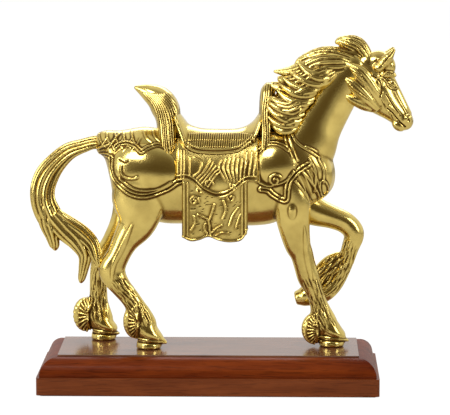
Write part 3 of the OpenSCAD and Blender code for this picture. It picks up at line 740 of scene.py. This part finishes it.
head_v, head_f = head.fuse(HEAD_VOXEL * FINE)
head_v = average(head_v, head_f, int(HEAD_ROUNDS / FINE ** 2), 0.5)
head_n = normals(head_v, head_f)
hx, hz = head_v[:, 0], head_v[:, 2]
marks = Relief(hx, hz, ease((np.abs(head_n[:, 1]) - 0.15) / 0.4))
marks.lines(
    ([[155.6, 239.6], [159, 238.6], [163, 235.6], [165.4, 231.6]], 2.2, 1.0),  # upper lid
    ([[155.6, 237.4], [158, 232.6], [162, 230.6], [165.4, 230.6]], 2.0, 0.9),  # lower lid
    ([[156.5, 236.8], [160, 234.2], [164.4, 231.0]], 1.2, -0.5),
    ([[152, 242], [156, 246], [161, 245.4]], 2.2, 0.8),
    ([[163, 228], [168, 219], [173.5, 209]], 2.2, 0.7),
    ([[156, 226], [162, 216], [168, 207]], 2.0, -0.7),
    ([[157, 213.2], [161, 209.6], [167, 202.4], [173, 196.6]], 1.8, -1.2),  # mouth
    ([[158, 216.2], [163, 212.2], [168, 206.8]], 1.8, 0.5))
marks.pad(176, 203.2, 2.1, 2.6, -1.5)  # nostril hollow
marks.line([[172.6, 206.8], [175.4, 208], [178.4, 205.4]], 1.6, 0.7)
marks.pad(148.6, 253, 5, 4.6, -1.1)  # hollow of the temple
marks.lines(
    ([[152, 252], [157, 258.5], [161.6, 264.4]], 2.2, -1.0),  # hollow of the ear
    ([[143, 243], [149, 239], [152, 232], [150, 224]], 2.4, -0.8),
    ([[146, 240], [152, 240.6], [155, 237.6]], 1.8, 0.6))
for k in range(5):
    marks.line([[143 - 2.2 * k, 224 + 4.6 * k], [138 - 2.6 * k, 231 + 4.6 * k], [130 - 2 * k, 240 + 3 * k]],
               1.5, 0.45, taper=0.6)
for k in range(4):
    marks.line([[142 - 3 * k, 221 + 2 * k], [134 - 3 * k, 226 + 2.4 * k], [126 - 2 * k, 233 + 2 * k]], 1.4,
               0.4, taper=0.6)
for k in range(3):
    marks.line([[151 + 3 * k, 222 - 4 * k], [154 + 3 * k, 216 - 4 * k], [156 + 3 * k, 211 - 4 * k]], 1.4,
               -0.4, taper=0.6)
head_v = head_v + head_n * marks.h[:, None]
piece("head_casting", head_v, head_f, recesses(head_v, head_f, marks.h), ["head"])


# ---- Mane and tail: locks of combed strands ----
MANE_CREST = [
    [[143, 250, 3, 4, 0], [139, 258, 6.5, 8, 0], [131, 267, 9, 8, 0], [123, 270, 8.5, 7.5, 0],
     [115, 271.5, 5.5, 5, 0], [110.6, 270.5, 1.5, 2, 0]],
    [[80, 182, 8, 12, 0], [74, 192, 12, 18, 0], [66, 208, 11, 13, 0], [66, 222, 9, 9, 0],
     [70, 234, 5, 5, 0]],
    [[138, 248, 6, 6, 0], [128, 254, 10, 10, 0], [113, 259, 9, 9.5, 0], [100, 260, 8, 8, 0],
     [88, 257, 6.5, 6.5, 0], [79, 253, 4.5, 4.5, 0], [75, 249, 1, 1.4, 0]]]
MANE_SIDE = [
    [[124, 251, 4, 2.5, 8], [114.4, 250.3, 9.5, 6, 7.5], [98, 251, 9, 6.8, 7.5], [84, 247, 7.5, 6.2, 6.5],
     [72, 244.5, 5, 4.5, 4], [56.5, 245, 0.8, 0.8, 2]],
    [[112, 246, 4, 2, 11], [100, 242, 9.5, 5, 13], [84, 237, 9, 6.4, 12.4], [72, 236, 7, 5.8, 10.4],
     [60, 239, 1, 1, 8]],
    [[95, 233, 3, 1.6, 13.5], [88.4, 230.6, 8, 4.5, 16.2], [78, 227, 8, 6, 16], [68, 228.6, 6.5, 5, 13],
     [54, 234, 1, 1, 10]],
    [[84, 217, 3, 1.6, 17.5], [79.2, 216.4, 7, 4.5, 19.6], [70, 214, 7.5, 5.5, 19.4],
     [62, 217, 6, 4.8, 17], [52, 224, 1, 1, 13]],
    [[80, 203.6, 3, 1.6, 18], [75.3, 203.4, 8, 4, 19.6], [67, 202.4, 8.5, 6, 19],
     [58, 206.6, 8, 5.2, 15.4], [49, 217, 1.5, 1.6, 11]]]


def loose_strands(clay, side):
    """Thin wavy strands over the locks, from the neck back to the pommel."""
    dice = np.random.default_rng(21)
    for k in range(15):
        t = k / 14
        x, z = 110 - 33 * t + dice.uniform(-2, 2), 249 - 50 * t + dice.uniform(-1.5, 1.5)
        y = 12.5 + 9.5 * math.sqrt(t)
        long = min(30 + dice.uniform(-4, 6), x - 50)
        sway = dice.uniform(-3, 3)
        clay.loft([[x, z, 0.8, 0.8, side * (y - 2)], [x - long * 0.22, z - 2.4, 2.2, 2.4, side * y],
                   [x - long * 0.5, z - 2 + sway * 0.5, 2.8, 3.0, side * (y + 0.8)],
                   [x - long * 0.78, z + 2.5 + sway, 2.1, 2.4, side * (y - 1)],
                   [x - long, z + 8 + sway * 0.4, 0.7, 0.8, side * (y - 4.5)]], sides=40, steps=7, ribs=6,
                  depth=0.7)


mane = Clay()
for lock in MANE_CREST:
    mane.loft(lock, sides=140, steps=8, ribs=15, depth=2.2, twist=1.6, grow=-2.9)
for side in (RIGHT, LEFT):
    for lock in MANE_SIDE:
        mane.loft(mirrored(lock, side), sides=130, steps=8, ribs=13, depth=2.1, twist=1.4 * side, grow=-1.5)
    loose_strands(mane, side)
tail = Clay()
tail.loft(TAIL, sides=120, steps=8, ribs=11, depth=2.0, twist=1.3, grow=-2.1)
for lock in TAIL_LOCKS:
    tail.loft(lock, sides=110, steps=8, ribs=9, depth=1.8, twist=1.0, grow=-1.2)


def finished(clay, name, voxel, rounds, nodes, relief=None):
    """Fuses the clay, smooths it, presses the relief in and makes the piece."""
    v, f = clay.fuse(voxel * FINE)
    v = average(v, f, rounds, 0.5)
    h = None
    if relief:
        n = normals(v, f)
        field = Relief(v[:, 0], v[:, 2], ease((np.abs(n[:, 1]) - 0.1) / 0.4))
        relief(field)
        h = field.h
        v = v + n * h[:, None]
    piece(name, v, f, recesses(v, f, h), nodes)


def fur(field):
    """Engraved hair that sweeps up the back of the cantle."""
    for k in range(13):
        x = -44 + 2.0 * k
        field.line([[x + 2, 176], [x + 0.5, 190], [x - 1, 204], [x - 5, 216], [x - 14, 226]], 1.5, 0.55)


def pommel_marks(field):
    for k in range(7):
        x = 44.4 + 2.1 * k
        field.line([[x, 178], [x + 0.8, 194], [x + 0.2, 210], [x + 1.6, 224], [x + 2.4, 234]], 1.7, 0.6)


cantle = Clay()
cantle.loft(CANTLE, sides=64, steps=8)
pommel = Clay()
pommel.loft(POMMEL, sides=64, steps=8)
finished(mane, "mane_casting", 0.63, 2, ["mane"])
finished(tail, "tail_casting", 0.45, 2, ["tail"])
finished(cantle, "saddle_cantle_casting", 0.5, 6, ["saddle_cantle"], fur)
finished(pommel, "saddle_pommel_casting", 0.5, 6, ["saddle_pommel"], pommel_marks)


# ---- Saddle plates ----
def plate(name, outer, inner, h, nodes):
    """A plate between two grids of points, closed round its edges. The relief stands on the outer grid."""
    rows, columns = outer.shape[:2]
    along = np.gradient(outer, axis=0)
    across = np.gradient(outer, axis=1)
    n = np.cross(along, across)
    n /= np.maximum(np.linalg.norm(n, axis=2), 1e-9)[..., None]
    n *= np.sign((n * (outer - inner)).sum(2).sum())
    face = outer + n * h[..., None]
    size = rows * columns
    i = np.arange(size).reshape(rows, columns)
    quads = np.stack([i[:-1, :-1], i[1:, :-1], i[1:, 1:], i[:-1, 1:]], -1).reshape(-1, 4)
    rim = np.concatenate([i[0, :-1], i[:-1, -1], i[-1, :0:-1], i[:0:-1, 0]])
    after = np.roll(rim, -1)
    walls = np.stack([rim, after, after + size, rim + size], -1)
    f = np.vstack([quads, quads[:, ::-1] + size, walls])
    v = np.vstack([face.reshape(-1, 3), inner.reshape(-1, 3)])
    if signed_volume(v, f) < 0:
        f = f[:, ::-1]
    hollow = np.concatenate([grid_recess(h).ravel(), np.zeros(size)])
    piece(name, v, f, hollow, nodes)


def signed_volume(v, f):
    """Six times the volume inside the quads, negative where they face inwards."""
    a, b, c, d = (v[f[:, k]] for k in range(4))
    return float((a * np.cross(b, c)).sum() + (a * np.cross(c, d)).sum())


def grid_recess(h):
    """How far each grid point lies below the mean of the ones around it."""
    mean = h.copy()
    for _ in range(14):
        inside = np.pad(mean, 1, mode="edge")
        mean = (inside[:-2, 1:-1] + inside[2:, 1:-1] + inside[1:-1, :-2] + inside[1:-1, 2:]) / 4
    return np.clip((mean - h) / 0.4, 0, 1)


def outline(table, x, steps=6):
    p = spline(table, steps)
    return np.interp(x, p[:, 0], p[:, 1])


def edge_fall(rows, columns, pitch, radius, top=True):
    """How much lower a plate's face lies near its edges, so that they are round."""
    i = np.minimum(np.arange(rows), np.arange(rows)[::-1])[:, None] * pitch
    j = np.arange(columns)[::-1][None] * pitch
    if top:
        j = np.minimum(j, np.arange(columns)[None] * pitch)
    near = np.minimum(i, j)
    return radius - np.sqrt(np.clip(radius ** 2 - np.clip(radius - near, 0, radius) ** 2, 0, None))


SEAT_EDGE = [[-30, 206], [-25, 192], [-20, 181], [-12, 176], [0, 174.5], [12, 174.5], [25, 176], [33, 181],
        [40, 188], [46, 204]]
SEAT_TOP = [[-30, 217], [-27, 209.5], [-22, 202.5], [-18, 198], [-10, 195], [0, 193.8], [20, 193.8],
            [28, 195], [34, 197.5], [39, 201.5], [43, 207], [46, 212.5]]
SKIRT_HEM = [[-28, 151], [-20, 152], [-13, 149], [-6, 142], [2, 137.5], [9, 136], [16, 137.5], [23, 142.5],
             [29, 148], [34, 150.5], [41, 150.5]]
CLOTH_HEM = [[-23, 101], [-16, 98], [-8, 99], [0, 101.5], [9, 98.5], [20, 97], [29, 99], [34, 108]]
PITCH = 0.5 * FINE  # spacing of the grids
FLAP_DROP = 52  # longest drop of a skirt or cloth
SEAT_BACK, SEAT_FRONT, SEAT_WRAP = -30, 46, 100


def lowered(table, by):
    return [[x, z - by] for x, z in table]


def seat_marks(field):
    field.line(lowered(SEAT_EDGE, -1.6), 2.6, 1.2, steps=8)
    field.line(lowered(SEAT_EDGE, -4.6), 2.2, 0.9, steps=8)
    for k in range(30):
        x = -18 + 1.95 * k
        field.line([[x, 180.6], [x + 0.3, 184.6]], 1.5, 1.1, steps=2)
        field.line([[x + 0.6, 186.4], [x + 0.8, 191.2]], 1.5, 1.1, steps=2)


def skirt_marks(field):
    field.line(lowered(SKIRT_HEM, -1.5), 2.4, 1.1, steps=8)
    field.line(lowered(SKIRT_HEM, -5.2), 2.2, 0.9, steps=8)
    for k in range(7):
        field.line([[12 + 3.6 * k, 173 - abs(k - 3) * 1.2], [9 + 3.9 * k, 163],
                    [15 + 2.6 * k, 152 - 1.4 * (k % 2)]], 2.0, 0.9, taper=0.5)
    for k in range(5):
        field.line([[-11 + 2.6 * k, 153 - 1.8 * k], [-3 + 2.4 * k, 161 - 1.0 * k],
                    [2 + 2.4 * k, 170 - 2.6 * k]], 1.9, 0.9, taper=0.5)
    field.swirl(0, 149, 4.4, 1.0, 1.7, 0.8)
    field.swirl(22, 147.5, 3.4, 1.0, 1.7, 0.8, start=2.5)
    field.line([[-12, 172], [-6, 168], [-8, 160], [-13, 156]], 1.9, 0.8)
    for x, low, high in ((-24, 155, 178), (-21.6, 155, 178), (-16.6, 157, 172)):
        field.line([[x, low], [x, high]], 1.7, 0.9)
    for x in (31, 35.4, 39.6):
        field.line([[x, 156], [x + 2.4, 177]], 1.8, 0.9)


def cloth_marks(field):
    field.line(lowered(CLOTH_HEM, -1.4), 2.0, 0.8, steps=8)
    for x in (-21.6, -18.2, 32.6, 29.6):
        field.line([[x, 103], [x, 150]], 1.7, 0.8)
    field.lines(
        ([[-9, 122], [-4, 119.5], [0, 116], [1.6, 103]], 2.6, 1.2),
        ([[5, 131], [3, 124], [0.6, 117]], 2.4, 1.1),
        ([[-1, 104], [-4, 110], [-3, 114]], 1.8, 0.8),
        ([[3, 106], [7, 110], [12, 113]], 2.0, 0.9),
        ([[6, 103], [11, 106], [17, 106]], 1.8, 0.8),
        ([[12, 118], [15, 126], [13, 134]], 2.2, 0.9),
        ([[18, 112], [21, 121], [26, 128]], 2.2, 0.9),
        ([[24, 110], [26, 117], [28, 122]], 1.8, 0.8),
        ([[-16, 108], [-12, 114], [-13, 121]], 2.0, 0.8))
    field.swirl(-13, 134, 4.6, 1.2, 1.9, 0.9)
    field.swirl(-8, 144, 3.6, 1.0, 1.7, 0.8, way=-1)
    field.swirl(20, 137, 4.4, 1.2, 1.8, 0.8, start=1.5)
    dice = np.random.default_rng(11)
    for x, z in zip(dice.uniform(-16, 28, 90), dice.uniform(102, 146, 90)):
        field.line([[x - 0.5, z - 0.3], [x + 0.5, z + 0.3]], 1.5, 0.24, steps=2)


def hanging(name, side, first, last, top, bottom, out_face, in_face, marks, node):
    """A skirt or cloth on one flank, from its top line to its hem."""
    rows = int((last - first) / PITCH)
    columns = int(FLAP_DROP / PITCH)
    x = np.linspace(first, last, rows)[:, None] * np.ones((1, columns))
    t = np.linspace(0, 1, columns)[None]
    z = top(x) + (bottom(x) - top(x)) * t
    field = Relief(x.ravel(), z.ravel())
    marks(field)
    h = field.h.reshape(x.shape)
    fall = edge_fall(rows, columns, PITCH, 1.6, top=False)
    outer = np.stack([x, side * (out_face(x, z) - fall), z], -1)
    inner = np.stack([x, side * in_face(x, z), z], -1)
    plate(name, outer, inner, h, [node])


def skirt_face(x, z):
    return np.maximum(flank(x, z, 3.4) + 0.2, 0)


def drape(x, z):
    """The cloth hangs in two soft waves that grow towards its hem."""
    low = ease((148 - z) / 45)
    return 33.4 + low * (1.2 * np.cos((x + 12.5) / 26 * 2 * math.pi) - 0.3)


for side, word in ((RIGHT, "right"), (LEFT, "left")):
    hanging("saddle_skirt_" + word + "_casting", side, -28, 43.5, lambda x: np.full(x.shape, 188.0),
            lambda x: outline(SKIRT_HEM, x), skirt_face, lambda x, z: flank(x, z, -1.5), skirt_marks,
            "saddle_skirt_" + word)
    hanging("saddle_cloth_" + word + "_casting", side, -23.5, 34.5, lambda x: outline(SKIRT_HEM, x) + 4,
            lambda x: outline(CLOTH_HEM, x), drape, lambda x, z: np.full(x.shape, 30.7),
            cloth_marks, "saddle_cloth_" + word)

rows = int((SEAT_FRONT - SEAT_BACK) / PITCH)
columns = int(SEAT_WRAP / PITCH)
x = np.linspace(SEAT_BACK, SEAT_FRONT, rows)[:, None] * np.ones((1, columns))
c, h0, w0 = torso_ring(x)
top = outline(SEAT_TOP, x)
rim = outline(SEAT_EDGE, x)
spread = np.arccos(np.clip((rim - c) / (top - c), -1, 1)) * np.linspace(-1, 1, columns)[None]
outer = np.stack([x, (w0 + 4.6) * np.sin(spread), c + (top - c) * np.cos(spread)], -1)
inner = np.stack([x, (w0 - 3) * np.sin(spread), c + (h0 - 3) * np.cos(spread)], -1)
field = Relief(outer[..., 0].ravel(), outer[..., 2].ravel(),
        ease((np.abs(np.sin(spread)) - 0.04) / 0.2).ravel())
seat_marks(field)
fall = edge_fall(rows, columns, PITCH, 1.5)
outer[..., 1] -= fall * np.sin(spread)
outer[..., 2] -= fall * np.cos(spread)
plate("saddle_seat_casting", outer, inner, field.h.reshape(x.shape), ["saddle_seat"])


# ---- Base ----
for name, material in (("plinth_board", slab_wood), ("moulded_board", moulding_wood),
        ("top_panel", panel_wood), ("felt_pad", felt_material()), ("hoof_screws", steel_material()),
        ("screw_washers", steel_material())):
    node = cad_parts[name]
    for part_slot in node.material_slots:
        part_slot.material = material


# ---- Stage, light and camera ----
def sweep_material():
    """White paper under the object: it shows white, with soft contact shadows."""
    material, nodes, links, shader = nodes_of("white_sweep")
    shader.inputs["Base Color"].default_value = (0.55, 0.53, 0.50, 1)
    shader.inputs["Roughness"].default_value = 0.9
    light = added(nodes, "Emission", {"Strength": 1.12})
    ray = added(nodes, "LightPath").outputs["Is Camera Ray"]
    share = through(nodes, links, ray, 0, 0, "Math", {1: 0.86}, operation="MULTIPLY")
    mix = added(nodes, "MixShader")
    links.new(share, mix.inputs[0])
    links.new(shader.outputs[0], mix.inputs[1])
    links.new(light.outputs[0], mix.inputs[2])
    links.new(mix.outputs[0], nodes["Material Output"].inputs["Surface"])
    return material


bpy.ops.mesh.primitive_plane_add(size=60)
floor = bpy.context.object
floor.name = "floor"
floor.data.materials.append(sweep_material())


def studio(viewer):
    """A white room with a dark patch where the viewer stands, for the brass to mirror."""
    world = bpy.data.worlds.new("studio")
    bpy.context.scene.world = world
    world.use_nodes = True
    nodes, links = world.node_tree.nodes, world.node_tree.links
    place = added(nodes, "TexCoord").outputs["Generated"]
    facing = through(nodes, links, place, 0, "Value", "VectorMath", {1: viewer}, operation="DOT_PRODUCT")
    colour = ramp_of(nodes, links, facing, (0.0, (0.95, 0.94, 0.92)), (0.52, (0.36, 0.34, 0.29)),
                     (0.75, (0.17, 0.135, 0.085)), last=(0.95, (0.11, 0.080, 0.040)))
    links.new(colour, nodes["Background"].inputs["Color"])
    nodes["Background"].inputs["Strength"].default_value = 0.9


studio((0.10, -0.97, 0.12))


def soft_box(name, at, aim, size, power):
    lamp = bpy.data.lights.new(name, "AREA")
    lamp.shape = "RECTANGLE"
    lamp.size, lamp.size_y = size
    lamp.energy = power
    made = bpy.data.objects.new(name, lamp)
    made.location = at
    made.rotation_euler = (Vector(aim) - Vector(at)).to_track_quat("-Z", "Y").to_euler()
    bpy.context.scene.collection.objects.link(made)


soft_box("key", (-0.55, -1.0, 1.3), (0, 0, 0.15), (0.7, 0.5), 12)
soft_box("fill", (1.25, -0.75, 0.75), (0, 0, 0.15), (0.4, 0.8), 7)
soft_box("left_low", (-1.35, -1.05, 0.62), (0, 0, 0.15), (0.55, 0.9), 9)
soft_box("back", (0.2, 1.2, 1.2), (0, 0, 0.15), (1.4, 0.6), 10)

AZIMUTH, ELEVATION = math.radians(1.27), math.radians(8.16)
AWAY = 2.35186
AIM = Vector((0.01393, 0, 0.15883))
back = Vector((math.sin(AZIMUTH) * math.cos(ELEVATION), -math.cos(AZIMUTH) * math.cos(ELEVATION),
               math.sin(ELEVATION)))
lens = bpy.data.cameras.new("camera")
lens.sensor_width = 36
lens.lens = 212.4  # mm: a long lens, from far off
camera = bpy.data.objects.new("camera", lens)
camera.location = AIM + back * AWAY
camera.rotation_euler = back.to_track_quat("Z", "Y").to_euler()
bpy.context.scene.collection.objects.link(camera)
bpy.context.scene.camera = camera
bpy.context.scene.view_settings.view_transform = "Standard"
